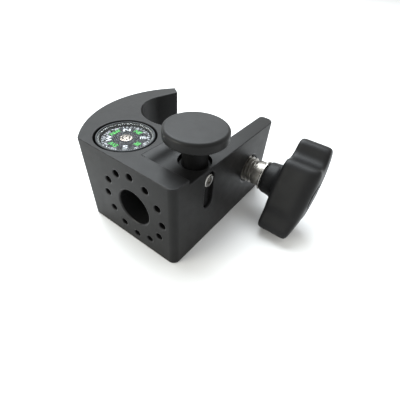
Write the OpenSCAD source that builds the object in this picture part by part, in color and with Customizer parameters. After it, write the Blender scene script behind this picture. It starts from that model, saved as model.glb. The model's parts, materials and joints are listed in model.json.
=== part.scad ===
// Open-jaw pole clamp bracket with a compass and a quick-release socket.
// The pole axis is +Z through the origin, and the bracket rests on z = 0.
// The socket faces -Y, and the clamp screw comes through the arm along +X.

/* [Block] */
// Height of the block
block_h = 40; // [38:1:44]
// Distance from the pole axis to the flat right side
side_x = 37.5; // [37:0.5:39]
// Distance from the pole axis to the flat front
front_y = 45.5; // [45:0.5:47]
// Radius of the curved left side
back_r = 47.5; // [47:0.5:48]
// Radius of the front right corner
corner_r = 3; // [1:0.5:4]
// Depth of the step that clears the button
shelf_d = 2; // [1:0.5:3]

/* [Pole jaw] */
// Radius of the pole seat
seat_r = 16.5; // [15.5:0.5:16.5]
// Direction in which the seat runs out into the hook, in degrees
hook_turn = 165; // [160:1:168]
// Distance from the pole axis to the end of the arm
arm_end = 26.8; // [24.8:0.5:28.3]
// Thickness of the arm
arm_t = 7.3; // [6.5:0.1:7.5]

/* [Socket] */
// Radius of the socket bore, for a 5/8 inch stud
socket_r = 7.95; // [7.8:0.05:8]
// Depth of the socket bore
socket_depth = 25; // [22:1:26]
// Length of the close front part of the bore
socket_land = 13; // [10:0.5:13]
// Number of index holes round the socket
index_count = 12; // [6:1:12]
// Radius of the circle of index holes
index_pcr = 15; // [14:0.5:15]
// Radius of an index hole
index_r = 1.6; // [1.2:0.1:1.7]

/* [Quick release] */
// Radius of the button
button_r = 12; // [10:0.1:12.4]
// Thickness of the button
button_t = 4.4; // [4.2:0.1:6]
// Height of the button's underside
button_z = 47.4; // [45.4:0.1:48]
// Radius of the plunger's guide
plunger_r = 6.52; // [6.4:0.02:6.54]
// Travel of the button
stroke = 5.2; // [3:0.1:5.2]

/* [Compass] */
// Radius of the recess
compass_r = 12.4; // [12:0.1:12.6]
// Depth of the recess
compass_d = 4.8; // [4.6:0.1:5]

/* [Clamp screw] */
// Radius over the thread
stud_r = 6; // [5.8:0.05:6.1]
// Pitch of the thread
pitch = 1.75; // [1.25:0.25:2]
// Radius of the plain collar between the thread and the knob
collar_r = 5.9; // [5:0.1:6]
// Radius of the plain shank inside the knob
shank_r = 4.85; // [4.6:0.05:4.9]
// Gap between the arm and the knob
knob_gap = 8.3; // [8.2:0.1:10]
// Radius of the pressure pad
pad_r = 7.5; // [6:0.5:8]

/* [Knob] */
// Length of the wings from tip to tip
knob_len = 43.4; // [40:0.2:44]
// Width of the middle of the knob
knob_w = 20; // [19:0.5:21]
// Thickness of a wing
wing_t = 9.6; // [9:0.2:10]
// Radius of the hub
hub_r = 7.6; // [7:0.1:7.6]
// Angle of the wings from upright, in degrees
knob_turn = -27; // [-90:1:90]

/* [Hidden] */
$fn = 96;
eps = 0.01;
back = [20, -9.7];                  // centre of the curved left side
jaw_front = -14.2;                  // front wall of the jaw beside the seat
jaw_corner_r = 4;
arm_outer_r = 3.4;
arm_inner_r = 2.2;
arm_in = side_x - arm_t;
tip_r = 1.2;                        // rounding of the hook's tip
tip_turn = 53.8;                    // direction its end face looks in
tip_at = [-15.4, 17.2];             // a point on the hook's end face
tip_dir = [cos(tip_turn), sin(tip_turn)];
seat_end = seat_r * [cos(hook_turn), sin(hook_turn)];
hook_dir = [sin(hook_turn), -cos(hook_turn)];
left_r = 2.5;                       // rounding of the front left corner
socket_x = 16.5;
socket_relief_r = socket_r + 0.35;
mid_z = block_h / 2;
index_depth = 4;
release = [29.8, -24.7];            // axis of the plunger
release_floor = 4.5;
release_bore_r = plunger_r + 0.08;
shelf_z = block_h - shelf_d;
shelf_front = -37.3;
shelf_flat_x = 23.6;                // where the flat floor of the step ends
shelf_run = 8.6;                    // width over which it fades out in an S-curve
shelf_fade_r = (shelf_run * shelf_run + shelf_d * shelf_d) / (4 * shelf_d);
slot_w = 6;
slot_low = 21.7;
slot_high = 33.2;
screw_z = 32;
compass = [0.3, -31.6];
compass_z = block_h - compass_d;
clamp_y = 8.8;
stud_hole_r = stud_r + 0.1;
hub_x = side_x + knob_gap;
anodised = [0.13, 0.13, 0.135];
steel = [0.75, 0.75, 0.77];
plastic = [0.1, 0.1, 0.1];

// Rounds the corner between two straight edges that leave it along u and v.
module corner_cut(p, u, v, r) {
    half = acos(u * v) / 2;
    reach = r / tan(half);
    middle = (u + v) / norm(u + v);
    centre = p + middle * (r / sin(half));
    difference() {
        polygon([p + u * reach, p - middle, p + v * reach, centre]);
        translate(centre) circle(r);
    }
}

// A bar of square section with two round ends, standing along Z in the Y-Z plane.
module slot_along_x(w, low, high, depth) {
    translate([0, -w / 2, low]) cube([depth, w, high - low]);
    for (z = [low, high]) {
        translate([0, 0, z]) rotate([0, 90, 0]) cylinder(r = w / 2, h = depth);
    }
}

module along_x(x) {
    translate([x, clamp_y, mid_z]) rotate([0, 90, 0]) children();
}

// The free space of the jaw: the seat, the way in, and the room beside the pad.
module jaw_2d() {
    room = 60;
    circle(seat_r);
    difference() {
        translate([0, jaw_front]) square([arm_in, room]);
        corner_cut([arm_in, jaw_front], [-1, 0], [0, 1], jaw_corner_r);
    }
    polygon([
        [0, 0], seat_end, seat_end + hook_dir * room,
        [arm_in, room], [arm_in, 0]
    ]);
}

// The curved left side with the hook, cut off at the hook's end face.
module hook_2d() {
    side = [tip_dir.y, -tip_dir.x];
    reach = 40;
    from_back = tip_at - back;
    along = from_back * side;
    to_outer = sqrt(along * along - from_back * from_back + back_r * back_r) + along;
    outer = tip_at - to_outer * side;
    out = (outer - back) / back_r;
    inner = seat_end + hook_dir * ((tip_at - seat_end) * tip_dir) / (hook_dir * tip_dir);
    difference() {
        intersection() {
            translate(back) circle(back_r);
            translate([-40, -front_y]) square([40 + back.x, 90]);
        }
        polygon([
            tip_at - side * reach, tip_at - side * reach + tip_dir * reach,
            tip_at + side * reach + tip_dir * reach, tip_at + side * reach
        ]);
        corner_cut(outer, side, [-out.y, out.x], tip_r);
        corner_cut(inner, -side, -hook_dir, tip_r);
    }
}

module outline_2d() {
    front_left = [back.x - sqrt(back_r * back_r - pow(front_y + back.y, 2)), -front_y];
    radius = (front_left - back) / back_r;
    along_back = [radius.y, -radius.x];
    difference() {
        union() {
            hook_2d();
            translate([0, -front_y]) square([side_x, front_y + arm_end]);
        }
        jaw_2d();
        corner_cut([side_x, -front_y], [-1, 0], [0, 1], corner_r);
        corner_cut([side_x, arm_end], [-1, 0], [0, -1], arm_outer_r);
        corner_cut([arm_in, arm_end], [1, 0], [0, -1], arm_inner_r);
        corner_cut(front_left, along_back, [1, 0], left_r);
    }
}

// The step, cut along Y. It fades out in a hollow arc and then a crowned one.
module shelf_cut() {
    above = 3;
    half_d = shelf_d / 2;
    half_run = shelf_run / 2;
    lip = 0.03;                     // keeps the crowned arc from only touching the top face
    translate([0, 50, 0]) rotate([90, 0, 0]) linear_extrude(50 - shelf_front) {
        translate([shelf_flat_x, shelf_z]) square([30, above]);
        translate([shelf_flat_x - half_run, shelf_z + half_d]) square([half_run + eps, above]);
        intersection() {
            translate([shelf_flat_x, shelf_z + shelf_fade_r]) circle(shelf_fade_r);
            translate([shelf_flat_x - half_run, shelf_z]) square([half_run + eps, half_d + eps]);
        }
        difference() {
            translate([shelf_flat_x - shelf_run, shelf_z + half_d]) square([half_run + eps, above]);
            translate([shelf_flat_x - shelf_run, block_h - lip - shelf_fade_r]) circle(shelf_fade_r);
        }
    }
}

module index_holes() {
    for (i = [0 : index_count - 1]) {
        a = i * 360 / index_count;
        translate([socket_x + index_pcr * cos(a), -front_y - 1, mid_z + index_pcr * sin(a)])
            rotate([-90, 0, 0]) cylinder(r = index_r, h = index_depth + 1, $fn = 32);
    }
}

module clamp_body() {
    mouth = 0.5;
    sink = 1.2;                     // depth of the countersink round the stud
    relief_from = mouth + socket_land;
    color(anodised) difference() {
        linear_extrude(block_h) outline_2d();
        shelf_cut();
        translate([socket_x, -front_y - 1, mid_z])
            rotate([-90, 0, 0]) cylinder(r = socket_r, h = relief_from + 2);
        translate([socket_x, -front_y + relief_from, mid_z])
            rotate([-90, 0, 0]) cylinder(r = socket_relief_r, h = socket_depth - relief_from);
        translate([socket_x, -front_y - eps, mid_z])
            rotate([-90, 0, 0]) cylinder(r1 = socket_r + mouth, r2 = socket_r, h = mouth);
        index_holes();
        translate([compass.x, compass.y, compass_z]) cylinder(r = compass_r, h = compass_d + 1);
        translate([release.x, release.y, release_floor]) cylinder(r = release_bore_r, h = block_h);
        translate([release.x + 5, release.y, 0]) slot_along_x(slot_w, slot_low, slot_high, 10);
        along_x(arm_in - 1) cylinder(r = stud_hole_r, h = arm_t + 2);
        along_x(side_x - sink)
            cylinder(r1 = stud_hole_r, r2 = stud_hole_r + 2 * sink, h = 2 * sink);
    }
}

// Compass. The housing is a cup with a ledge for the seal and the lens.
housing_r = compass_r - 0.8;
lens_r = housing_r - 0.8;
well_r = lens_r - 0.6;
housing_top = block_h - 0.2;
lens_t = 0.6;
seal_t = 0.3;
well_floor = compass_z + 1;
dial_r = well_r - 0.5;
pivot_h = 1.7;
dial_z = well_floor + pivot_h;
dial_t = 0.4;
cap_r = 2;
jewel_r = 0.9;

module at_compass(z) {
    translate([compass.x, compass.y, z]) children();
}

module compass_housing() {
    ledge_z = housing_top - lens_t - seal_t;
    color(plastic) at_compass(compass_z) difference() {
        cylinder(r = housing_r, h = housing_top - compass_z);
        translate([0, 0, ledge_z - compass_z]) cylinder(r = lens_r + 0.05, h = 5);
        translate([0, 0, well_floor - compass_z]) cylinder(r = well_r, h = 5);
    }
}

module compass_pivot() {
    color(steel) at_compass(well_floor) {
        cylinder(r = 1.1, h = 0.3, $fn = 32);
        cylinder(r = 0.35, h = pivot_h, $fn = 32);
        translate([0, 0, pivot_h]) cylinder(r1 = 0.35, r2 = 0.05, h = 0.45, $fn = 32);
    }
}

module lens_seal() {
    color("black") at_compass(housing_top - lens_t - seal_t) difference() {
        cylinder(r = lens_r, h = seal_t);
        translate([0, 0, -1]) cylinder(r = well_r, h = 3);
    }
}

module compass_lens() {
    color([0.9, 0.95, 1, 0.35]) at_compass(housing_top - lens_t) cylinder(r = lens_r, h = lens_t);
}

module compass_dial() {
    color("black") at_compass(dial_z) difference() {
        cylinder(r = dial_r, h = dial_t);
        translate([0, 0, -1]) cylinder(r = cap_r + 0.02, h = 3);
    }
}

module dial_magnet() {
    magnet_t = 0.6;
    color(steel) at_compass(dial_z - magnet_t) difference() {
        cylinder(r = 4, h = magnet_t);
        translate([0, 0, -1]) cylinder(r = cap_r + 0.3, h = 3);
    }
}

module jewel_cap() {
    below = 0.2;
    rim = 0.25;
    color(steel) at_compass(dial_z - below) difference() {
        union() {
            cylinder(r = cap_r, h = below + dial_t + rim);
            translate([0, 0, below + dial_t]) cylinder(r = cap_r + 0.6, h = rim);
            translate([0, 0, below + dial_t + rim]) cylinder(r1 = cap_r - 0.1, r2 = 1.2, h = 0.4);
        }
        translate([0, 0, -1]) cylinder(r = jewel_r + 0.02, h = 1.75);
    }
}

module pivot_jewel() {
    cup_top = 0.36;
    color([0.6, 0.1, 0.15]) at_compass(dial_z + 0.15) difference() {
        cylinder(r = jewel_r, h = 0.38, $fn = 32);
        translate([0, 0, -0.01]) cylinder(r1 = 0.5, r2 = 0.1, h = cup_top, $fn = 32);
    }
}

// Quick release. The plunger's flank blocks the socket, and its scallop clears
// the socket when the button is down.
neck_r = 4.9;
neck_z = 36.6;
plunger_z = 12;
spigot_r = 2.9;
spigot_h = 3.2;
spring_pocket_r = 4.1;
spring_top = plunger_z + 8;
scallop_r = socket_relief_r;
head_r = 2.75;
head_x = 35.6;
head_t = 1.6;
guide_r = 1.5;

module at_release(z) {
    translate([release.x, release.y, z]) children();
}

module release_button() {
    round_r = 1.3;
    bevel = 0.6;
    color(anodised) at_release(button_z) difference() {
        rotate_extrude() {
            square([button_r - round_r, button_t]);
            polygon([[0, 0], [button_r - bevel, 0], [button_r, bevel],
                [button_r, button_t - round_r], [0, button_t - round_r]]);
            translate([button_r - round_r, button_t - round_r]) intersection() {
                circle(round_r);
                square(round_r);
            }
        }
        translate([0, 0, -1]) cylinder(r = spigot_r + 0.02, h = spigot_h + 1.1);
    }
}

module plunger() {
    color(anodised) difference() {
        union() {
            at_release(plunger_z) cylinder(r = plunger_r, h = neck_z - plunger_z);
            at_release(neck_z) cylinder(r = neck_r, h = button_z - neck_z);
            at_release(button_z) cylinder(r = spigot_r, h = spigot_h);
        }
        at_release(plunger_z - 1) cylinder(r = spring_pocket_r, h = spring_top - plunger_z + 1);
        translate([socket_x, release.y - 10, mid_z + stroke])
            rotate([-90, 0, 0]) cylinder(r = scallop_r, h = 20);
        translate([head_x, release.y, screw_z]) rotate([0, 90, 0]) cylinder(r = head_r + 0.05, h = 5);
        translate([head_x - 6, release.y, screw_z]) rotate([0, 90, 0]) cylinder(r = guide_r + 0.02, h = 7);
    }
}

module guide_screw() {
    socket_af = 2.5;
    color(steel) translate([head_x, release.y, screw_z]) rotate([0, 90, 0]) difference() {
        union() {
            cylinder(r = head_r, h = head_t - 0.4);
            translate([0, 0, head_t - 0.4]) cylinder(r1 = head_r, r2 = head_r - 0.5, h = 0.4);
            translate([0, 0, -5.5]) cylinder(r = guide_r, h = 5.6);
        }
        translate([0, 0, head_t - 0.9]) cylinder(d = socket_af / cos(30), h = 2, $fn = 6);
    }
}

// A round wire swept along a helix as one polyhedron.
function ring(c, u, v, r, n) = [for (j = [0 : n - 1])
    c + r * (cos(j * 360 / n) * u + sin(j * 360 / n) * v)];

module coil(r, wire, low, high, turns, per_turn = 20, sides = 8) {
    steps = turns * per_turn;
    rise = (high - low - 2 * wire) / steps;
    rings = [for (i = [0 : steps])
        let (a = i * 360 / per_turn, out = [cos(a), sin(a), 0])
        ring(r * out + [0, 0, low + wire + i * rise], out, [0, 0, 1], wire, sides)];
    last = steps * sides;
    walls = [for (i = [0 : steps - 1], j = [0 : sides - 1])
        let (k = (j + 1) % sides)
        [i * sides + j, (i + 1) * sides + j, (i + 1) * sides + k, i * sides + k]];
    polyhedron(
        points = [for (one = rings, p = one) p],
        faces = concat(walls, [[for (j = [0 : sides - 1]) j]],
            [[for (j = [0 : sides - 1]) last + sides - 1 - j]])
    );
}

module plunger_spring() {
    color(steel) at_release(0)
        coil(r = 3.3, wire = 0.4, low = release_floor + 0.05, high = spring_top - 0.05, turns = 7);
}

// Clamp screw. The stud is one turned piece: head, journal, thread, relief, collar and shank.
pad_x = 18.4;
liner_t = 1.2;
pad_t = 4.3;
head_in = pad_x + 1.1;
thread_x = pad_x + 5.1;
thread_end = side_x + 4.1;
relief = 0.8;
relief_r = 4.3;
stud_end = hub_x + 14;
thread_depth = 0.9;

module clamp_stud() {
    turns = floor((thread_end - thread_x) / pitch);
    root = stud_r - thread_depth;
    flat = pitch * 0.2;
    along = thread_x + turns * pitch;
    color(steel) along_x(0) {
        translate([0, 0, head_in]) cylinder(r = 3.8, h = 1.5);
        translate([0, 0, head_in]) cylinder(r = 2.8, h = thread_x - head_in + eps);
        rotate_extrude() {
            translate([0, thread_x]) square([root, along - thread_x]);
            translate([0, along - eps]) square([relief_r, relief + 2 * eps]);
            for (i = [0 : turns - 1]) {
                z = thread_x + i * pitch;
                polygon([[root - 0.1, z], [root, z], [stud_r, z + pitch / 2 - flat],
                    [stud_r, z + pitch / 2 + flat], [root, z + pitch], [root - 0.1, z + pitch]]);
            }
            translate([0, along + relief]) square([collar_r, hub_x - along - relief]);
            translate([0, hub_x - eps]) square([shank_r, stud_end - hub_x + eps]);
        }
    }
}

module thrust_washer() {
    color(steel) along_x(hub_x) difference() {
        cylinder(r = hub_r - 0.6, h = 0.8);
        translate([0, 0, -1]) cylinder(r = shank_r + 0.05, h = 3);
    }
}

insert_x = hub_x + 1.6;
insert_t = 12;
insert_af = 12;
wing_x = hub_x + 8;
wing_tip_x = hub_x + 22.1;
crown = 2.4;
core_len = 25;                      // length of the thick middle of the knob
wing_off = 3.9;                     // distance of a wing from the middle plane

module rounded_2d(size, r) {
    square([size.x, size.y - 2 * r], center = true);
    square([size.x - 2 * r, size.y], center = true);
    for (sx = [-1, 1], sy = [-1, 1]) {
        translate([sx * (size.x / 2 - r), sy * (size.y / 2 - r)]) circle(r);
    }
}

// The knob seen along the screw. Each wing is set off to one side of the middle.
module wing_face_2d() {
    valley_r = 4.8;
    inner = wing_t / 2 - wing_off;
    rounded_2d([core_len, knob_w], 4);
    for (turn = [0, 180]) {
        rotate(turn) {
            translate([knob_len / 4, -wing_off]) rounded_2d([knob_len / 2, wing_t], 3.5);
            translate([core_len / 2, inner]) difference() {
                translate([-1, -1]) square(valley_r + 1);
                translate([valley_r, valley_r]) circle(valley_r);
            }
        }
    }
}

module wing_side_2d() {
    face_r = (pow(knob_len / 2, 2) + crown * crown) / (2 * crown);
    cover = knob_len + 2;
    intersection() {
        translate([0, wing_tip_x + crown - face_r]) circle(face_r, $fn = 200);
        translate([-cover / 2, wing_x]) square([cover, 40]);
    }
}

// The knob seen along the wings, with its outer edges well rounded.
module wing_end_2d() {
    edge_r = 5;
    outer_x = wing_tip_x + crown;
    translate([-knob_w / 2, wing_x]) square([knob_w, outer_x - edge_r - wing_x]);
    translate([edge_r - knob_w / 2, wing_x]) square([knob_w - 2 * edge_r, outer_x - wing_x]);
    for (sx = [-1, 1]) {
        translate([sx * (knob_w / 2 - edge_r), outer_x - edge_r]) circle(edge_r);
    }
}

module knob() {
    neck_flare = 1.4;
    cap_depth = 3;
    color(plastic) along_x(0) rotate([0, 0, knob_turn]) difference() {
        union() {
            translate([0, 0, hub_x + 0.8]) cylinder(r = hub_r, h = wing_x - hub_x);
            translate([0, 0, wing_x - 2.5]) cylinder(r1 = hub_r, r2 = hub_r + neck_flare, h = 3);
            intersection() {
                translate([0, 30, 0]) rotate([90, 0, 0]) linear_extrude(60) wing_side_2d();
                translate([30, 0, 0]) rotate([90, 0, -90]) linear_extrude(60) wing_end_2d();
                translate([0, 0, wing_x]) linear_extrude(30) wing_face_2d();
            }
        }
        translate([0, 0, hub_x]) cylinder(r = shank_r + 0.03, h = stud_end - hub_x + 0.5);
        translate([0, 0, insert_x]) cylinder(d = insert_af / cos(30) + 0.04, h = insert_t, $fn = 6);
        translate([0, 0, wing_tip_x + crown - cap_depth]) cylinder(r = 5.05, h = 5);
    }
}

module knob_insert() {
    color([0.75, 0.6, 0.3]) along_x(insert_x) rotate([0, 0, knob_turn]) difference() {
        cylinder(d = insert_af / cos(30), h = insert_t, $fn = 6);
        translate([0, 0, -1]) cylinder(r = shank_r + 0.02, h = insert_t + 2);
    }
}

module knob_cap() {
    color(plastic) along_x(wing_tip_x + crown - 2.95) cylinder(r = 5, h = 2.9);
}

module pressure_pad() {
    color([0.85, 0.85, 0.82]) along_x(pad_x) difference() {
        cylinder(r = pad_r, h = pad_t);
        translate([0, 0, 1]) cylinder(r = 3.95, h = pad_t);
        translate([0, 0, 2.75]) cylinder(r = 4.5, h = 0.9);
    }
}

module pad_liner() {
    color("black") along_x(pad_x - liner_t) cylinder(r = pad_r, h = liner_t);
}

module pad_clip() {
    gap = 1.6;
    color(steel) along_x(pad_x + 2.8) difference() {
        cylinder(r = 4.48, h = 0.8);
        translate([0, 0, -1]) cylinder(r = 2.95, h = 3);
        translate([-gap / 2, 0, -1]) cube([gap, 6, 3]);
    }
}

clamp_body();
compass_housing();
compass_pivot();
lens_seal();
compass_lens();
compass_dial();
dial_magnet();
jewel_cap();
pivot_jewel();
release_button();
plunger();
guide_screw();
plunger_spring();
clamp_stud();
knob();
knob_insert();
thrust_washer();
knob_cap();
pressure_pad();
pad_liner();
pad_clip();
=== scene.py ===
import json
import math

import bmesh
import bpy
from mathutils import Matrix, Vector


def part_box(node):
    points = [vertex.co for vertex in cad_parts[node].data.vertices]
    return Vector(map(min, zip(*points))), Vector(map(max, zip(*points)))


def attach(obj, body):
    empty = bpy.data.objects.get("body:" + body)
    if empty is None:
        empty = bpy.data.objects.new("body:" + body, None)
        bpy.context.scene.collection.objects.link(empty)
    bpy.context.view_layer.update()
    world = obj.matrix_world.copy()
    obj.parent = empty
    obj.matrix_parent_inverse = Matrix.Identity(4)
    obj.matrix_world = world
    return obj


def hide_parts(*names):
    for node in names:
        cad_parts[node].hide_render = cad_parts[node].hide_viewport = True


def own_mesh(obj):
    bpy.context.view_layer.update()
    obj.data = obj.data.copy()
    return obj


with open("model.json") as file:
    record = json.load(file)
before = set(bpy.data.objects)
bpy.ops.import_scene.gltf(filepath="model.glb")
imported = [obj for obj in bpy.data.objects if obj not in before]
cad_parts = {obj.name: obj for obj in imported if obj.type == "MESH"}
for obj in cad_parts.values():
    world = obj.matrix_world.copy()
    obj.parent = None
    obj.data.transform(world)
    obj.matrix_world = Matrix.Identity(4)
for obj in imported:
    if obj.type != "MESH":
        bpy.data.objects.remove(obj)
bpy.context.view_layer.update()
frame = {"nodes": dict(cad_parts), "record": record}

nodes = frame["nodes"]
MM = 0.001

# ---- sizes of the bracket, in millimetres, as in the CAD ----
BLOCK_H = 40.0
SHELF_Z = 38.0
FRONT_Y = -45.5
SIDE_X = 37.5
ARM_IN_X = 30.2
ARM_END_Y = 26.8
JAW_FRONT_Y = -14.2
SHELF_FRONT_Y = -37.3
SHELF_FLAT_X = 23.6  # where the flat floor of the step ends
SHELF_RUN = 8.6  # width over which the step fades out
SOCKET = Vector((16.5, FRONT_Y, 20.0))
SOCKET_R = 7.95
SOCKET_MOUTH = 0.5
SOCKET_LAND_END = 13.5
SOCKET_RELIEF_R = 8.3
SOCKET_DEPTH = 25.0
INDEX_COUNT = 12
INDEX_PCR = 15.0
INDEX_R = 1.6
INDEX_DEPTH = 4.0
COMPASS = Vector((0.3, -31.6, 0.0))
COMPASS_R = 12.4
COMPASS_FLOOR = 35.2
RELEASE = Vector((29.8, -24.7, 0.0))
RELEASE_BORE_R = 6.6
RELEASE_FLOOR = 4.5
SLOT_LOW, SLOT_HIGH, SLOT_HALF_W = 21.7, 33.2, 3.0
STROKE = 5.2
CLAMP_Y = 8.8
CLAMP_Z = 20.0
STUD_HOLE_R = 6.1
STUD_SINK = 1.2
EDGE_BREAK = 0.38
BEYOND = 60.0  # further out than any face of the bracket

# ---------------------------------------------------------------- materials


def node_material(name, base, rough, metallic=0.0, **sockets):
    """A Principled material whose fixed values sit on the shader's own sockets."""
    mat = bpy.data.materials.new(name)
    mat.use_nodes = True
    tree = mat.node_tree
    shader = tree.nodes["Principled BSDF"]
    shader.inputs["Base Color"].default_value = (*base, 1)
    shader.inputs["Roughness"].default_value = rough
    shader.inputs["Metallic"].default_value = metallic
    for key, value in sockets.items():
        shader.inputs[key.replace("_", " ")].default_value = value
    return mat, tree, shader


def add(tree, kind, **values):
    node = tree.nodes.new(kind)
    for key, value in values.items():
        setattr(node, key, value)
    return node


def noise(tree, scale, detail=3.0, rough=0.5, stretch=None):
    """Noise in the piece's own metres, so that the grain has its real size."""
    coord = add(tree, "ShaderNodeTexCoord")
    tex = add(tree, "ShaderNodeTexNoise")
    tex.inputs["Scale"].default_value = scale
    tex.inputs["Detail"].default_value = detail
    tex.inputs["Roughness"].default_value = rough
    source = coord.outputs["Object"]
    if stretch:
        mapping = add(tree, "ShaderNodeMapping")
        mapping.inputs["Scale"].default_value = stretch
        tree.links.new(source, mapping.inputs["Vector"])
        source = mapping.outputs["Vector"]
    tree.links.new(source, tex.inputs["Vector"])
    return tex.outputs["Fac"]


def ramp(tree, source, stops):
    """A colour ramp; stops are (position, grey or colour)."""
    node = add(tree, "ShaderNodeValToRGB")
    tree.links.new(source, node.inputs["Fac"])
    elements = node.color_ramp.elements
    while len(elements) < len(stops):
        elements.new(0.5)
    for element, (at, value) in zip(elements, stops):
        element.position = at
        colour = value if isinstance(value, tuple) else (value,) * 3
        element.color = (*colour, 1)
    return node.outputs["Color"]


def bump(tree, shader, source, strength, distance, under=None):
    node = add(tree, "ShaderNodeBump")
    node.inputs["Strength"].default_value = strength
    node.inputs["Distance"].default_value = distance
    tree.links.new(source, node.inputs["Height"])
    if under:
        tree.links.new(under, node.inputs["Normal"])
    tree.links.new(node.outputs["Normal"], shader.inputs["Normal"])
    return node.outputs["Normal"]


def mottled(name, dark, light, rough, metallic=0.0, patch=90.0, grain=2600.0,
            grain_depth=0.02, grain_strength=0.25, specks=None, **sockets):
    """A surface with slow colour variation, uneven gloss and a fine grain."""
    mat, tree, shader = node_material(name, dark, rough[0], metallic, **sockets)
    slow = noise(tree, patch, 4.0, 0.6)
    colour = ramp(tree, slow, [(0.3, dark), (0.7, light)])
    if specks:
        spots = noise(tree, specks[0], 1.0)
        mask = ramp(tree, spots, [(specks[1], 0.0), (specks[1] + 0.03, 1.0)])
        mix = add(tree, "ShaderNodeMix", data_type="RGBA")
        tree.links.new(mask, mix.inputs["Factor"])
        tree.links.new(colour, mix.inputs["A"])
        mix.inputs["B"].default_value = (*specks[2], 1)
        colour = mix.outputs["Result"]
    tree.links.new(colour, shader.inputs["Base Color"])
    gloss = noise(tree, patch * 2.7, 5.0, 0.65)
    tree.links.new(ramp(tree, gloss, [(0.3, rough[0]), (0.7, rough[1])]), shader.inputs["Roughness"])
    bump(tree, shader, noise(tree, grain, 2.0), grain_strength, grain_depth * MM)
    return mat


def turned(name, dark, light, rough, axis, pitch=0.12, strength=0.12, **sockets):
    """Bare metal with fine turning marks across the given axis."""
    mat, tree, shader = node_material(name, dark, rough[0], 1.0, **sockets)
    slow = noise(tree, 260.0, 4.0)
    tree.links.new(ramp(tree, slow, [(0.25, dark), (0.75, light)]), shader.inputs["Base Color"])
    stretch = [0.05, 0.05, 0.05]
    stretch[axis] = 1.0
    lines = noise(tree, 1000.0 / pitch / 4, 3.0, 0.6, stretch)
    tree.links.new(ramp(tree, lines, [(0.3, rough[0]), (0.7, rough[1])]), shader.inputs["Roughness"])
    bump(tree, shader, lines, strength, 0.02 * MM)
    return mat


ANODISED_GLOSS = 0.13
BLACK_DARK, BLACK_LIGHT, BLACK_ROUGH = (0.0058, 0.0058, 0.0059), (0.0085, 0.0085, 0.0086), (0.36, 0.44)
SPECK = (0.07, 0.07, 0.075)
ANODISED = mottled("anodised", BLACK_DARK, BLACK_LIGHT, BLACK_ROUGH,
                   patch=70.0, grain=4200.0, grain_depth=0.012, grain_strength=0.22,
                   specks=(900.0, 0.79, SPECK), Specular_IOR_Level=ANODISED_GLOSS)
# Lighter anodising on the rounded edges: partly wear on the edges, partly a painted highlight along them.
ANODISED_EDGE_WEAR_AND_HIGHLIGHT = mottled("anodised_edge_wear_and_highlight", (0.010, 0.010, 0.0105), (0.024, 0.024, 0.025),
                        (0.30, 0.40), 0.3,
                        patch=300.0, grain=4200.0, grain_depth=0.01, grain_strength=0.2,
                        Specular_IOR_Level=ANODISED_GLOSS)
BUTTON = mottled("button_anodised", BLACK_DARK, BLACK_LIGHT, BLACK_ROUGH,
                 patch=80.0, grain=4200.0, grain_depth=0.012, grain_strength=0.22,
                 specks=(1100.0, 0.80, SPECK), Specular_IOR_Level=ANODISED_GLOSS)
# The plunger is painted darker than the body's anodising: painted shade for its bore and the gap under
# the button.
PLUNGER = mottled("plunger_anodised_painted_shade", (0.004, 0.004, 0.0042), (0.007, 0.007, 0.0072), (0.45, 0.55),
                  patch=200.0, grain=3600.0, grain_depth=0.01, Specular_IOR_Level=0.05)
KNOB = mottled("knob_plastic", (0.0050, 0.0050, 0.0053), (0.0075, 0.0075, 0.0079), (0.42, 0.52),
               patch=110.0, grain=2300.0, grain_depth=0.035, grain_strength=0.45,
               Specular_IOR_Level=0.16)
HOUSING = mottled("compass_plastic", (0.020, 0.022, 0.024), (0.030, 0.033, 0.036), (0.3, 0.45),
                  patch=300.0, grain=3000.0, grain_depth=0.01, Specular_IOR_Level=0.15)
RUBBER = mottled("rubber", (0.010, 0.010, 0.010), (0.018, 0.018, 0.018), (0.75, 0.9),
                 patch=240.0, grain=1600.0, grain_depth=0.05, grain_strength=0.5)
NYLON = mottled("white_nylon", (0.44, 0.43, 0.40), (0.52, 0.51, 0.48), (0.38, 0.5),
                patch=180.0, grain=1900.0, grain_depth=0.02)
DIAL = mottled("dial_black", (0.006, 0.006, 0.008), (0.009, 0.009, 0.012), (0.55, 0.7),
               patch=400.0, grain=5000.0, grain_depth=0.008, Specular_IOR_Level=0.08)
WHITE_INK = mottled("white_ink", (0.22, 0.225, 0.24), (0.29, 0.295, 0.315), (0.4, 0.55),
                    patch=900.0, grain=6000.0, grain_depth=0.006, Specular_IOR_Level=0.1)
GREEN_INK = mottled("green_ink", (0.010, 0.145, 0.018), (0.030, 0.22, 0.035), (0.4, 0.55),
                    patch=700.0, grain=6000.0, grain_depth=0.006, Specular_IOR_Level=0.1)
MAGNET = turned("plated_magnet", (0.25, 0.25, 0.26), (0.36, 0.36, 0.37), (0.25, 0.4), 2)
CAP_METAL = turned("plated_brass", (0.13, 0.11, 0.10), (0.20, 0.17, 0.155), (0.16, 0.28), 2, 0.08)
BRASS = turned("brass", (0.40, 0.28, 0.11), (0.50, 0.37, 0.17), (0.22, 0.35), 0)
STEEL = turned("stainless_steel", (0.30, 0.29, 0.275), (0.44, 0.43, 0.41), (0.18, 0.32), 0, 0.10, 0.10)
THREAD = mottled("rolled_thread", (0.17, 0.16, 0.145), (0.32, 0.305, 0.28), (0.30, 0.44), 1.0,
                 patch=420.0, grain=2000.0, grain_depth=0.003)
SPRING = turned("spring_steel", (0.30, 0.30, 0.31), (0.46, 0.46, 0.47), (0.25, 0.4), 2)
JEWEL, _tree, _shader = node_material("red_jewel", (0.35, 0.01, 0.03), 0.08, 0.0,
                                      Transmission_Weight=0.6, IOR=1.76)
bump(_tree, _shader, noise(_tree, 900.0), 0.05, 0.01 * MM)
LENS, _tree, _shader = node_material("clear_lens", (0.96, 0.98, 0.97), 0.02, 0.0,
                                     Transmission_Weight=1.0, IOR=1.12)
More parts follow.
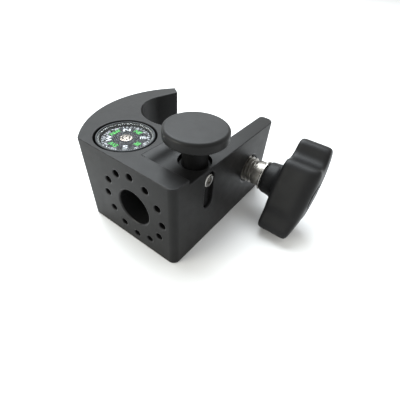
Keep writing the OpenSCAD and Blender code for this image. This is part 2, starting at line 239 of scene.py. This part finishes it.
_tree.links.new(ramp(_tree, noise(_tree, 160.0, 6.0, 0.7), [(0.45, 0.005), (0.8, 0.03)]),
                _shader.inputs["Roughness"])
bump(_tree, _shader, noise(_tree, 120.0, 2.0), 0.08, 0.05 * MM)

SLOTS = {
    "black_anodised": ANODISED, "button_black": BUTTON, "plunger_black": PLUNGER,
    "black_plastic": HOUSING, "knob_plastic": KNOB, "black_rubber": RUBBER,
    "clear_lens": LENS, "dial_face": DIAL, "plated_magnet": MAGNET, "plated_brass": CAP_METAL,
    "red_jewel": JEWEL, "stainless_steel": STEEL, "spring_steel": SPRING, "brass": BRASS,
    "white_nylon": NYLON,
}
for one in frame["record"]["materials"]:
    if one.get("slot") in SLOTS:
        for node_name in one.get("nodes", []):
            if node_name in nodes:
                nodes[node_name].data.materials.clear()
                nodes[node_name].data.materials.append(SLOTS[one["slot"]])

# ---------------------------------------------------------------- mesh tools


def to_object(name, bm, materials):
    mesh = bpy.data.meshes.new(name)
    bm.to_mesh(mesh)
    bm.free()
    obj = bpy.data.objects.new(name, mesh)
    bpy.context.scene.collection.objects.link(obj)
    for material in materials:
        mesh.materials.append(material)
    return obj


def place(obj, body, slot, *replaced):
    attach(obj, body)
    if replaced:
        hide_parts(*replaced)
    return obj


def smooth(obj, angle=35.0, weighted=True):
    """Smooth shading that keeps edges sharper than the angle."""
    mesh = obj.data
    mesh.shade_smooth()
    mesh.set_sharp_from_angle(angle=math.radians(angle))
    if weighted:
        mod = obj.modifiers.new("normals", "WEIGHTED_NORMAL")
        mod.keep_sharp = True
    return obj


def rounded(points, closed=False, steps=5):
    """A polyline of (x, y, radius) with its corners rounded."""
    out = []
    count = len(points)
    for i, (x, y, r) in enumerate(points):
        if r <= 0 or (not closed and i in (0, count - 1)):
            out.append((x, y))
            continue
        p = Vector((x, y))
        a = Vector(points[i - 1][:2]) - p
        b = Vector(points[(i + 1) % count][:2]) - p
        la, lb = a.length, b.length
        a.normalize()
        b.normalize()
        half = a.angle(b) / 2
        reach = min(r / math.tan(half), la * 0.5, lb * 0.5)
        r = reach * math.tan(half)
        centre = p + (a + b).normalized() * (r / math.sin(half))
        start = p + a * reach - centre
        end = p + b * reach - centre
        turn = start.angle_signed(end)
        for k in range(steps + 1):
            t = -turn * k / steps
            out.append((centre.x + start.x * math.cos(t) - start.y * math.sin(t),
                        centre.y + start.x * math.sin(t) + start.y * math.cos(t)))
    return out


def axis_matrix(origin, direction):
    """Local +Z along the direction, local origin at the point, still in millimetres."""
    turn = Vector(direction).to_track_quat("Z", "Y").to_matrix().to_4x4()
    return Matrix.Translation(Vector(origin)) @ turn


def lathe(profile, where, segments=96, closed=False, bm=None):
    """Turns (radius, height) pairs round local Z. A closed profile makes a ring."""
    bm = bm or bmesh.new()
    rings = []
    for r, h in profile:
        if r < 1e-6:
            rings.append([bm.verts.new(where @ Vector((0, 0, h)) * MM)])
        else:
            rings.append([bm.verts.new(where @ Vector((r * math.cos(t), r * math.sin(t), h)) * MM)
                          for t in (2 * math.pi * i / segments for i in range(segments))])
    pairs = list(zip(rings, rings[1:]))
    if closed:
        pairs.append((rings[-1], rings[0]))
    made = []
    for low, high in pairs:
        for i in range(segments):
            j = (i + 1) % segments
            if len(low) == 1:
                made.append(bm.faces.new((low[0], high[j], high[i])))
            elif len(high) == 1:
                made.append(bm.faces.new((low[i], low[j], high[0])))
            else:
                made.append(bm.faces.new((low[i], low[j], high[j], high[i])))
    bmesh.ops.recalc_face_normals(bm, faces=made)
    return bm


def bake(obj):
    """Applies an object's modifiers to its mesh."""
    graph = bpy.context.evaluated_depsgraph_get()
    mesh = bpy.data.meshes.new_from_object(obj.evaluated_get(graph))
    obj.modifiers.clear()
    old = obj.data
    obj.data = mesh
    bpy.data.meshes.remove(old)
    return obj


def carve(obj, cutters):
    """Cuts each cutter mesh out of the object with an exact Boolean."""
    tools = [to_object("cutter", cutter, []) for cutter in cutters]
    for tool in tools:
        mod = obj.modifiers.new("cut", "BOOLEAN")
        mod.operation = "DIFFERENCE"
        mod.solver = "EXACT"
        mod.object = tool
    bake(obj)
    for tool in tools:
        bpy.data.objects.remove(tool)
    return obj


# ---------------------------------------------------------------- the body


def arc(centre, radius, start, end, step=3.0):
    count = max(2, math.ceil(abs(end - start) / step))
    return [(centre[0] + radius * math.cos(math.radians(start + (end - start) * k / count)),
             centre[1] + radius * math.sin(math.radians(start + (end - start) * k / count)))
            for k in range(count + 1)]


def bracket_outline():
    """The bracket seen from above, anticlockwise from its front left corner."""
    back, back_r = (20.0, -9.7), 47.5
    seat_r, hook_end = 16.5, 165.0
    hook_turn = math.radians(hook_end)
    seat_end = Vector((seat_r * math.cos(hook_turn), seat_r * math.sin(hook_turn)))
    hook_dir = Vector((math.sin(hook_turn), -math.cos(hook_turn)))
    end_turn = math.radians(53.8)
    tip_dir = Vector((math.cos(end_turn), math.sin(end_turn)))
    tip_at = Vector((-15.4, 17.2))
    side = Vector((tip_dir.y, -tip_dir.x))
    from_back = tip_at - Vector(back)
    along = from_back.dot(side)
    to_outer = math.sqrt(along ** 2 - from_back.length_squared + back_r ** 2) + along
    outer = tip_at - side * to_outer
    inner = seat_end + hook_dir * ((tip_at - seat_end).dot(tip_dir) / hook_dir.dot(tip_dir))
    left_x = back[0] - math.sqrt(back_r ** 2 - (FRONT_Y - back[1]) ** 2)
    tip_turn = math.degrees(math.atan2(outer.y - back[1], outer.x - back[0]))
    left_turn = 360 + math.degrees(math.atan2(FRONT_Y - back[1], left_x - back[0]))
    wall_end = math.sqrt(seat_r ** 2 - JAW_FRONT_Y ** 2)
    seat_start = math.degrees(math.atan2(JAW_FRONT_Y, wall_end))
    left_r, corner_r, arm_outer_r, arm_inner_r, jaw_corner_r, tip_r = 2.5, 3.0, 3.4, 2.2, 4.0, 1.2
    straight = [
        (left_x, FRONT_Y, left_r), (SIDE_X, FRONT_Y, corner_r), (SIDE_X, ARM_END_Y, arm_outer_r),
        (ARM_IN_X, ARM_END_Y, arm_inner_r), (ARM_IN_X, JAW_FRONT_Y, jaw_corner_r),
        (wall_end, JAW_FRONT_Y, 0.0),
    ]
    seat = [(x, y, 0.0) for x, y in arc((0, 0), seat_r, seat_start, hook_end - 360)[1:]]
    curve = arc(back, back_r, tip_turn, left_turn, 1.6)
    points = straight + seat + [(inner.x, inner.y, tip_r)]
    points += [(outer.x, outer.y, 0.0)] + [(x, y, 0.0) for x, y in curve[1:-1]]
    near = Vector(curve[-2])
    tangent = near + (Vector(curve[-1]) - near) * 0.02
    return points, (tangent.x, tangent.y, 0.0)


def extruded(outline, low, high, where=Matrix.Identity(4)):
    bm = bmesh.new()
    bottom = [bm.verts.new(where @ Vector((x, y, low)) * MM) for x, y in outline]
    top = [bm.verts.new(where @ Vector((x, y, high)) * MM) for x, y in outline]
    bm.faces.new(list(reversed(bottom)))
    bm.faces.new(top)
    for i in range(len(outline)):
        j = (i + 1) % len(outline)
        bm.faces.new((bottom[i], bottom[j], top[j], top[i]))
    bmesh.ops.recalc_face_normals(bm, faces=bm.faces)
    return bm


def shelf_cutter():
    """Lowers the top round the button by 2 mm. The step fades out in an S-curve on its left."""
    depth = BLOCK_H - SHELF_Z
    above = BLOCK_H + 3
    far_x = SHELF_FLAT_X - SHELF_RUN
    fade_r = (SHELF_RUN ** 2 + depth ** 2) / (4 * depth)
    lip = 0.01
    steps = 12
    fade = []
    for k in range(steps + 1):
        x = SHELF_RUN / 2 * k / steps
        fade.append((SHELF_FLAT_X - x, SHELF_Z + fade_r - math.sqrt(fade_r ** 2 - x ** 2)))
    for k in range(1, steps + 1):
        x = SHELF_RUN / 2 * (steps - k) / steps
        fade.append((far_x + x, BLOCK_H - lip - fade_r + math.sqrt(fade_r ** 2 - x ** 2)))
    profile = [(BEYOND, SHELF_Z)] + fade + [(far_x - 2 * lip, above), (BEYOND, above)]
    where = Matrix(((1, 0, 0, 0), (0, 0, 1, 0), (0, 1, 0, 0), (0, 0, 0, 1)))
    return extruded(profile, SHELF_FRONT_Y, BEYOND, where)


def drill(origin, direction, profile, segments=96):
    """A cutter: (radius, depth) pairs measured into the part from a face."""
    top = [(0.0, -2.0), (profile[0][0], -2.0)]
    return lathe(top + profile + [(0.0, profile[-1][1])], axis_matrix(origin, direction), segments)


def index_cutter():
    bm = bmesh.new()
    for i in range(INDEX_COUNT):
        turn = 2 * math.pi * i / INDEX_COUNT
        at = SOCKET + Vector((INDEX_PCR * math.cos(turn), 0, INDEX_PCR * math.sin(turn)))
        lip = 0.18
        profile = [(0.0, -1.0), (INDEX_R + lip, -1.0), (INDEX_R + lip, 0.0), (INDEX_R, lip),
                   (INDEX_R, INDEX_DEPTH - 0.6), (0.0, INDEX_DEPTH)]
        lathe(profile, axis_matrix(at, (0, 1, 0)), 32, bm=bm)
    return bm


def slot_cutter():
    outline = arc((RELEASE.y, SLOT_HIGH), SLOT_HALF_W, 0, 180, 9.0)
    outline += arc((RELEASE.y, SLOT_LOW), SLOT_HALF_W, 180, 360, 9.0)
    where = Matrix(((0, 0, 1, 0), (1, 0, 0, 0), (0, 1, 0, 0), (0, 0, 0, 1)))
    return extruded(outline, RELEASE.x + 5, SIDE_X + 3, where)


def outer_edges(bm):
    """Convex edges where an outside face of the block ends."""
    tests = [
        (Vector((0, 0, 1)), BLOCK_H), (Vector((0, 0, 1)), SHELF_Z), (Vector((0, 0, -1)), 0.0),
        (Vector((0, -1, 0)), -FRONT_Y), (Vector((1, 0, 0)), SIDE_X),
        (Vector((0, 1, 0)), ARM_END_Y), (Vector((-1, 0, 0)), -ARM_IN_X),
    ]

    def in_bore(edge):
        rim = RELEASE_BORE_R + 0.3
        return all((v.co.xy / MM - RELEASE.xy).length < rim for v in edge.verts)

    def outside(face):
        centre = face.calc_center_median() / MM
        return any(face.normal.dot(n) > 0.999 and abs(centre.dot(n) - d) < 0.02 for n, d in tests)

    found = []
    for edge in bm.edges:
        if len(edge.link_faces) != 2:
            continue
        a, b = edge.link_faces
        convex = edge.calc_face_angle_signed(0.0) > math.radians(24)
        if convex and not in_bore(edge) and (outside(a) or outside(b)):
            found.append(edge)
    return found


def make_body():
    points, tangent = bracket_outline()
    outline = rounded([tangent] + points, closed=True, steps=7)
    obj = to_object("clamp_bracket", extruded(outline, 0.0, BLOCK_H), [ANODISED, ANODISED_EDGE_WEAR_AND_HIGHLIGHT])
    carve(obj, [
        shelf_cutter(),
        drill(SOCKET, (0, 1, 0), [
            (SOCKET_R + SOCKET_MOUTH, 0.0), (SOCKET_R, SOCKET_MOUTH), (SOCKET_R, SOCKET_LAND_END),
            (SOCKET_RELIEF_R, SOCKET_LAND_END), (SOCKET_RELIEF_R, SOCKET_DEPTH)]),
        index_cutter(),
        drill((COMPASS.x, COMPASS.y, BLOCK_H), (0, 0, -1), [(COMPASS_R, BLOCK_H - COMPASS_FLOOR)], 128),
        drill((RELEASE.x, RELEASE.y, BLOCK_H), (0, 0, -1), [
            (RELEASE_BORE_R, BLOCK_H - RELEASE_FLOOR - 0.5),
            (RELEASE_BORE_R - 0.6, BLOCK_H - RELEASE_FLOOR)]),
        slot_cutter(),
        drill((SIDE_X, CLAMP_Y, CLAMP_Z), (-1, 0, 0), [
            (STUD_HOLE_R + STUD_SINK, 0.0), (STUD_HOLE_R, STUD_SINK), (STUD_HOLE_R, 9.0)]),
    ])
    bm = bmesh.new()
    bm.from_mesh(obj.data)
    bmesh.ops.remove_doubles(bm, verts=bm.verts, dist=0.004 * MM)
    bmesh.ops.dissolve_limit(bm, angle_limit=math.radians(0.4), verts=bm.verts, edges=bm.edges,
                             delimit={"NORMAL"})
    # The rounded edges take the second material, whose lighter colour is partly wear and partly painted
    # highlight.
    bmesh.ops.bevel(bm, geom=outer_edges(bm), offset=EDGE_BREAK * MM, offset_type="OFFSET",
                    segments=3, profile=0.5, affect="EDGES", clamp_overlap=False, material=1)
    bm.to_mesh(obj.data)
    bm.free()
    smooth(obj, 32)
    return place(obj, "bracket", "black_anodised", "clamp_body")


make_body()

# ---------------------------------------------------------------- compass

HOUSING_R = 11.6
LENS_R = 10.8
WELL_R = 10.2
WELL_FLOOR = 36.2
LENS_LOW = 39.2
LENS_TOP = 39.8
SEAL_LOW = 38.9
DIAL_R = 9.7
DIAL_Z = 37.9
DIAL_T = 0.4
DIAL_TOP = DIAL_Z + DIAL_T
INK_T = 0.04
CAP_R = 2.0
SEAT_R = LENS_R + 0.06
at_compass = axis_matrix(COMPASS, (0, 0, 1))

profile = rounded([
    (0.0, COMPASS_FLOOR, 0), (HOUSING_R, COMPASS_FLOOR, 0.4), (HOUSING_R, LENS_TOP, 0.35),
    (SEAT_R, LENS_TOP, 0.15), (SEAT_R, SEAL_LOW, 0), (WELL_R, SEAL_LOW, 0.1),
    (WELL_R, WELL_FLOOR, 0.3), (0.0, WELL_FLOOR, 0)], steps=4)
housing = to_object("compass_cup", lathe(profile, at_compass, 128), [HOUSING])
place(smooth(housing), "bracket", "black_plastic", "compass_housing")

profile = rounded([
    (0.0, LENS_LOW, 0), (LENS_R, LENS_LOW, 0.08), (LENS_R, LENS_TOP - 0.2, 0.06),
    (LENS_R - 0.3, LENS_TOP, 0.12), (0.0, LENS_TOP, 0)], steps=4)
lens = to_object("compass_window", lathe(profile, at_compass, 128), [LENS])
place(smooth(lens, 50), "bracket", "clear_lens", "compass_lens")
lens.visible_shadow = False

profile = rounded([
    (CAP_R + 0.02, DIAL_Z, 0.05), (DIAL_R, DIAL_Z, 0.1), (DIAL_R, DIAL_TOP, 0.12),
    (CAP_R + 0.02, DIAL_TOP, 0.05)], closed=True, steps=3)
dial = to_object("compass_card_disc", lathe(profile, at_compass, 128, closed=True), [DIAL])
place(smooth(dial), "compass_card", "dial_face", "compass_dial")

NORTH = 45.0  # the card's north, in degrees from +Y towards -X


def card_point(radius, bearing, height):
    turn = math.radians(90 + NORTH - bearing)
    return Vector((COMPASS.x + radius * math.cos(turn), COMPASS.y + radius * math.sin(turn), height))


def card_text(word, radius, bearing, size, bold, wide=1.0):
    """A word on the card with its foot towards the middle, as a mesh."""
    curve = bpy.data.curves.new("word", "FONT")
    curve.body = word
    curve.size = size * MM
    stretch = Matrix.Scale(wide, 4, (1, 0, 0))
    curve.align_x = "CENTER"
    curve.align_y = "CENTER"
    curve.extrude = INK_T / 2 * MM
    curve.offset = bold * MM
    curve.resolution_u = 3
    obj = bpy.data.objects.new("word", curve)
    bpy.context.scene.collection.objects.link(obj)
    obj.matrix_world = (Matrix.Translation(card_point(radius, bearing, DIAL_TOP + INK_T / 2) * MM)
                        @ Matrix.Rotation(math.radians(NORTH - bearing), 4, "Z") @ stretch)
    bpy.context.view_layer.update()
    graph = bpy.context.evaluated_depsgraph_get()
    mesh = bpy.data.meshes.new_from_object(obj.evaluated_get(graph))
    mesh.transform(obj.matrix_world)
    bpy.data.objects.remove(obj)
    return mesh


def card_tick(bm, bearing, inner, outer, width):
    corners = []
    for radius, side in ((inner, -1), (inner, 1), (outer, 1), (outer, -1)):
        turn = math.degrees(math.atan2(side * width / 2, radius))
        corners.append(card_point(radius, bearing + turn, 0))
    low = [bm.verts.new((c + Vector((0, 0, DIAL_TOP))) * MM) for c in corners]
    high = [bm.verts.new((c + Vector((0, 0, DIAL_TOP + INK_T))) * MM) for c in corners]
    made = [bm.faces.new(high), bm.faces.new(list(reversed(low)))]
    for i in range(4):
        j = (i + 1) % 4
        made.append(bm.faces.new((low[i], low[j], high[j], high[i])))
    bmesh.ops.recalc_face_normals(bm, faces=made)


def card_marks(name, words, ticks, material):
    bm = bmesh.new()
    for word in words:
        mesh = card_text(*word)
        bm.from_mesh(mesh)
        bpy.data.meshes.remove(mesh)
    for tick in ticks:
        card_tick(bm, *tick)
    obj = to_object(name, bm, [material])
    return place(obj, "compass_card", "dial_face")


TICK_END = 9.5
words = [(letter, 6.4, 90 * i, 3.0, 0.08, 1.45) for i, letter in enumerate("NESW")]
words += [(str(bearing), 8.35, bearing, 1.35, 0.02) for bearing in range(0, 360, 30)]
ticks = [(bearing, 8.55, TICK_END, 0.26) for bearing in range(0, 360, 10) if bearing % 30]
ticks += [(bearing, 9.1, TICK_END, 0.34) for bearing in range(0, 360, 30)]
card_marks("card_white_marks", words, ticks, WHITE_INK)
words = [(pair, 6.3, 45 + 90 * i, 2.7, 0.10) for i, pair in enumerate(("NE", "SE", "SW", "NW"))]
card_marks("card_green_marks", words, [], GREEN_INK)

FLANGE_R, FLANGE_TOP, CAP_TOP = CAP_R + 0.6, DIAL_TOP + 0.25, DIAL_TOP + 0.65
profile = rounded([
    (0.0, DIAL_Z - 0.2, 0), (CAP_R, DIAL_Z - 0.2, 0.05), (CAP_R, DIAL_TOP, 0.0),
    (FLANGE_R, DIAL_TOP, 0.05), (FLANGE_R, FLANGE_TOP, 0.12), (CAP_R - 0.1, FLANGE_TOP, 0.05),
    (1.2, CAP_TOP, 0.3), (0.0, CAP_TOP, 0)], steps=4)
cap = to_object("card_cap", lathe(profile, at_compass, 48), [CAP_METAL])
place(smooth(cap), "compass_card", "plated_brass", "jewel_cap")

# ---------------------------------------------------------------- quick release

BUTTON_R, BUTTON_LOW, BUTTON_TOP, BUTTON_BEVEL = 12.0, 47.4, 51.8, 0.6
at_release = axis_matrix(RELEASE, (0, 0, 1))
profile = rounded([
    (0.0, BUTTON_LOW, 0), (BUTTON_R - BUTTON_BEVEL, BUTTON_LOW, 0.15),
    (BUTTON_R, BUTTON_LOW + BUTTON_BEVEL, 0.3),
    (BUTTON_R, BUTTON_TOP, 1.3), (0.0, BUTTON_TOP, 0)], steps=8)
button = to_object("release_disc", lathe(profile, at_release, 144), [BUTTON])
place(smooth(button, 40), "release", "button_black", "release_button")

NECK_R, NECK_Z, PLUNGER_R, PLUNGER_Z = 4.9, 36.6, 6.52, 12.0
POCKET_R, POCKET_TOP = 4.1, 20.0  # the spring's pocket in the plunger's foot
profile = rounded([
    (0.0, POCKET_TOP, 0), (POCKET_R, POCKET_TOP, 0), (POCKET_R, PLUNGER_Z, 0.2),
    (PLUNGER_R, PLUNGER_Z, 0.5),
    (PLUNGER_R, NECK_Z, 0.7), (NECK_R, NECK_Z, 0.5), (NECK_R, BUTTON_LOW, 0),
    (0.0, BUTTON_LOW, 0)], steps=5)
plunger = to_object("release_plunger", lathe(profile, at_release, 96), [PLUNGER])
SCREW = Vector((35.6, RELEASE.y, 32.0))
SCREW_R, SCREW_LEN, SCREW_HEAD_R, SCREW_HEAD_T = 1.5, 5.5, 2.75, 1.6
KEY_R, KEY_FLOOR = 1.45, 0.7  # the head's hexagon socket
at_screw = axis_matrix(SCREW, (1, 0, 0))
# The hollow in the plunger's side is in line with the socket once the button is down.
at_lock = axis_matrix((SOCKET.x, RELEASE.y, SOCKET.z + STROKE), (0, 1, 0))
reach = 12
carve(plunger, [
    lathe([(0, -reach), (SOCKET_RELIEF_R, -reach), (SOCKET_RELIEF_R, reach), (0, reach)], at_lock, 128),
    drill(SCREW, (-1, 0, 0), [
        (SCREW_HEAD_R + 0.05, 0.0), (SCREW_R + 0.02, 0.0), (SCREW_R + 0.02, SCREW_LEN + 0.5)], 48),
])
place(smooth(plunger), "release", "plunger_black", "plunger")

profile = rounded([
    (0.0, -SCREW_LEN, 0), (SCREW_R, -SCREW_LEN, 0.3), (SCREW_R, 0.0, 0), (SCREW_HEAD_R, 0.0, 0.15),
    (SCREW_HEAD_R, SCREW_HEAD_T, 0.55), (0.0, SCREW_HEAD_T, 0)], steps=6)
screw = to_object("guide_screw_button", lathe(profile, at_screw, 48), [STEEL])
carve(screw, [lathe([(0, KEY_FLOOR), (KEY_R, KEY_FLOOR), (KEY_R, 3), (0, 3)], at_screw, 6)])
place(smooth(screw), "release", "stainless_steel", "guide_screw")


def wire_coil(radius, wire, low, high, turns, dead=0.9, per_turn=40, sides=12):
    """A compression spring with a closed end turn at each end."""
    bm = bmesh.new()
    up = Vector((0, 0, 1))
    span = high - low - 4 * wire
    rings = []
    for i in range(int(turns * per_turn) + 1):
        t = i / per_turn
        live = min(max((t - dead) / (turns - 2 * dead), 0.0), 1.0)
        ends = (min(t, dead) + max(0.0, t - (turns - dead))) / dead
        z = low + wire + span * live + wire * ends
        turn = 2 * math.pi * t
        out = Vector((math.cos(turn), math.sin(turn), 0))
        centre = RELEASE + out * radius + up * z
        rings.append([bm.verts.new((centre + wire * (math.cos(a) * out + math.sin(a) * up)) * MM)
                      for a in (2 * math.pi * k / sides for k in range(sides))])
    for a, b in zip(rings, rings[1:]):
        for k in range(sides):
            m = (k + 1) % sides
            bm.faces.new((a[k], a[m], b[m], b[k]))
    bm.faces.new(list(reversed(rings[0])))
    bm.faces.new(rings[-1])
    bmesh.ops.recalc_face_normals(bm, faces=bm.faces)
    return bm


SPRING_LOW, SPRING_TOP = RELEASE_FLOOR + 0.05, POCKET_TOP - 0.05
COIL_R, WIRE_R, TURNS = 3.3, 0.4, 8
coil = to_object("release_spring", wire_coil(COIL_R, WIRE_R, SPRING_LOW, SPRING_TOP, TURNS), [SPRING])
place(smooth(coil, 60, weighted=False), "bracket", "spring_steel", "plunger_spring")
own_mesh(coil)

# ---------------------------------------------------------------- clamp screw

along_x = axis_matrix((0, CLAMP_Y, CLAMP_Z), (1, 0, 0))
HUB_X = 45.8
STUD_R, ROOT_R, PITCH = 6.0, 5.1, 1.75
SHANK_R, RELIEF_R, COLLAR_R = 4.85, 4.3, 5.9
THREAD_LOW, THREAD_TOP = 23.5, 41.0
RELIEF_END = THREAD_TOP + 0.8
SHANK_END = 59.8
TIP_LOW, TIP_TOP, TIP_R, TIP_NECK_R = 19.5, 21.0, 3.8, 2.8


def thread_mesh():
    """The stud: an M12 thread as one helix, then a relief groove, a collar and a shank."""
    bm = bmesh.new()
    around = 72
    per_pitch = 12
    rows = []
    root_flat, flank = 0.09, 0.32  # shares of a pitch: half the flat at the root, and one flank
    for i in range(-per_pitch, int((THREAD_TOP - THREAD_LOW) / PITCH * per_pitch) + 2):
        phase = (i / per_pitch) % 1.0
        tooth = min(max((abs(phase - 0.5) - root_flat) / flank, 0.0), 1.0)
        row = []
        for k in range(around):
            x = THREAD_LOW + (i / per_pitch + k / around) * PITCH
            x = min(max(x, THREAD_LOW), THREAD_TOP)
            fade = min(1.0, (x - THREAD_LOW) / (0.6 * PITCH), (THREAD_TOP - x) / (0.3 * PITCH))
            r = ROOT_R + (STUD_R - ROOT_R) * tooth * fade
            turn = 2 * math.pi * k / around
            at = Vector((r * math.cos(turn), r * math.sin(turn), x))
            row.append(bm.verts.new(along_x @ at * MM))
        rows.append(row)
    for i, (row, above) in enumerate(zip(rows, rows[1:])):
        for k in range(around - 1):
            bm.faces.new((row[k], row[k + 1], above[k + 1], above[k]))
        if i + per_pitch + 1 < len(rows):
            bm.faces.new((row[-1], rows[i + per_pitch][0], rows[i + per_pitch + 1][0], above[-1]))
    bmesh.ops.remove_doubles(bm, verts=bm.verts, dist=0.002 * MM)
    bmesh.ops.recalc_face_normals(bm, faces=bm.faces)
    core = rounded([(0.0, THREAD_LOW, 0), (ROOT_R, THREAD_LOW, 0.1), (ROOT_R - 0.02, THREAD_TOP - 0.1, 0),
                    (RELIEF_R, THREAD_TOP, 0.1), (RELIEF_R, RELIEF_END, 0.1),
                    (COLLAR_R, RELIEF_END, 0.2), (COLLAR_R, HUB_X, 0.1), (SHANK_R, HUB_X, 0),
                    (SHANK_R, SHANK_END, 0.4), (0.0, SHANK_END, 0)], steps=4)
    lathe(core, along_x, 72, bm=bm)
    tip = rounded([(0.0, TIP_LOW, 0), (TIP_R, TIP_LOW, 0.25), (TIP_R, TIP_TOP, 0.25),
                   (TIP_NECK_R, TIP_TOP, 0.1), (TIP_NECK_R, THREAD_LOW + 0.1, 0),
                   (0.0, THREAD_LOW + 0.1, 0)], steps=4)
    lathe(tip, along_x, 72, bm=bm)
    return bm


stud = to_object("clamp_stud_thread", thread_mesh(), [THREAD])
place(smooth(stud, 45, weighted=False), "clamp_screw", "stainless_steel", "clamp_stud")

WASHER_IN_R, WASHER_R, WASHER_T = SHANK_R + 0.05, 7.0, 0.8
profile = rounded([(WASHER_IN_R, HUB_X, 0.1), (WASHER_R, HUB_X, 0.2), (WASHER_R, HUB_X + WASHER_T, 0.2),
                   (WASHER_IN_R, HUB_X + WASHER_T, 0.1)], closed=True, steps=4)
washer = to_object("washer_ring", lathe(profile, along_x, 96, closed=True), [STEEL])
place(smooth(washer), "clamp_screw", "stainless_steel", "thrust_washer")


CAP_SEAT_X, CAP_SEAT_R = 67.3, 5.1


def make_knob():
    """The moulded knob: the CAD form with its edges softened as a mould leaves them."""
    mesh = nodes["knob"].data.copy()
    obj = bpy.data.objects.new("wing_knob", mesh)
    bpy.context.scene.collection.objects.link(obj)
    bm = bmesh.new()
    bm.from_mesh(mesh)
    bmesh.ops.remove_doubles(bm, verts=bm.verts, dist=0.002 * MM)
    bm.to_mesh(mesh)
    bm.free()
    remesh = obj.modifiers.new("remesh", "REMESH")
    remesh.mode = "VOXEL"
    remesh.voxel_size = 0.45 * MM
    soften = obj.modifiers.new("soften", "SMOOTH")
    soften.factor = 0.5
    soften.iterations = 85
    bake(obj)
    beyond = 75.0
    carve(obj, [lathe([(0, CAP_SEAT_X), (CAP_SEAT_R, CAP_SEAT_X), (CAP_SEAT_R, beyond), (0, beyond)],
                      along_x, 96)])
    obj.data.materials.clear()
    obj.data.materials.append(KNOB)
    smooth(obj, 60, weighted=False)
    return place(obj, "clamp_screw", "knob_plastic", "knob")


make_knob()
cap_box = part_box("knob_cap")
cap_low, cap_top = cap_box[0].x / MM, cap_box[1].x / MM
cap_r = CAP_SEAT_R - 0.1
profile = rounded([(0.0, cap_low, 0), (cap_r, cap_low, 0.3), (cap_r, cap_top, 0.35), (0.0, cap_top, 0)],
                  steps=5)
knob_cap = to_object("knob_cap_disc", lathe(profile, along_x, 72), [KNOB])
place(smooth(knob_cap), "clamp_screw", "knob_plastic", "knob_cap")

# ---------------------------------------------------------------- pressure pad

PAD_R, LINER_X, PAD_X, PAD_FLOOR_X, PAD_END_X = 7.5, 17.2, 18.4, 19.4, 22.7
CUP_R = TIP_R + 0.15
GROOVE_R, GROOVE_LOW, GROOVE_TOP = 4.5, 21.15, 22.05
profile = rounded([
    (0.0, PAD_X, 0), (PAD_R, PAD_X, 0.2), (PAD_R, PAD_END_X, 0.6), (CUP_R, PAD_END_X, 0.3),
    (CUP_R, GROOVE_TOP, 0), (GROOVE_R, GROOVE_TOP, 0), (GROOVE_R, GROOVE_LOW, 0),
    (CUP_R, GROOVE_LOW, 0), (CUP_R, PAD_FLOOR_X, 0.2), (0.0, PAD_FLOOR_X, 0)], steps=4)
pad = to_object("pad_cup", lathe(profile, along_x, 96), [NYLON])
place(smooth(pad), "pad", "white_nylon", "pressure_pad")

profile = rounded([
    (0.0, LINER_X, 0), (PAD_R, LINER_X, 0.35), (PAD_R, PAD_X, 0.1), (0.0, PAD_X, 0)], steps=4)
liner = to_object("pad_face", lathe(profile, along_x, 96), [RUBBER])
place(smooth(liner), "pad", "black_rubber", "pad_liner")

# ---------------------------------------------------------------- stage, lights, camera

floor_mesh = bmesh.new()
FLOOR_HALF = 1.6
floor_corners = [floor_mesh.verts.new((FLOOR_HALF * x, FLOOR_HALF * y, 0))
                 for x, y in ((-1, -1), (1, -1), (1, 1), (-1, 1))]
floor_mesh.faces.new(floor_corners)
FLOOR, _tree, _shader = node_material("floor_paper", (0.9, 0.9, 0.9), 0.8)
_tree.links.new(ramp(_tree, noise(_tree, 3.0), [(0.3, 0.66), (0.7, 0.68)]),
                _shader.inputs["Base Color"])
floor = to_object("floor", floor_mesh, [FLOOR])
floor.location.z = -0.0002  # just under the part, so that the two never share a plane


def softbox(name, at, aim, size, power, colour=(1, 1, 1)):
    light = bpy.data.lights.new(name, "AREA")
    light.shape = "RECTANGLE"
    light.size, light.size_y = size
    light.energy = power
    light.color = colour
    obj = bpy.data.objects.new(name, light)
    bpy.context.scene.collection.objects.link(obj)
    obj.location = at
    obj.rotation_euler = (Vector(aim) - Vector(at)).to_track_quat("-Z", "Y").to_euler()


middle = (0.01, -0.01, 0.02)
softbox("key", (-0.35, 0.25, 0.75), middle, (0.75, 0.75), 18.0, (0.90, 0.96, 1.0))
softbox("front", (-0.35, -0.65, 0.30), middle, (0.40, 0.40), 5.0, (1.0, 1.0, 0.90))

world = bpy.data.worlds.new("studio")
bpy.context.scene.world = world
world.use_nodes = True
background = world.node_tree.nodes["Background"]
background.inputs["Color"].default_value = (0.995, 1.0, 0.985, 1)
background.inputs["Strength"].default_value = 1.0

camera_data = bpy.data.cameras.new("camera")
camera = bpy.data.objects.new("camera", camera_data)
bpy.context.scene.collection.objects.link(camera)
eye = Vector((80.93, -94.21, 96.59))
looked_at = Vector((37.81, -28.13, 20.0))
forward = (looked_at - eye).normalized()
level_right = forward.cross(Vector((0, 0, 1))).normalized()
level_up = level_right.cross(forward)
roll = math.radians(5.186)
up = level_up * math.cos(roll) - level_right * math.sin(roll)
right = forward.cross(up)
camera.matrix_world = Matrix.Translation(eye * MM) @ Matrix((right, up, -forward)).transposed().to_4x4()
camera_data.lens = 24.73
camera_data.sensor_width = 36.0
camera_data.shift_x = -0.00854
camera_data.shift_y = 0.02317
camera_data.clip_start = 0.005
bpy.context.scene.camera = camera
bpy.context.scene.view_settings.view_transform = "Standard"
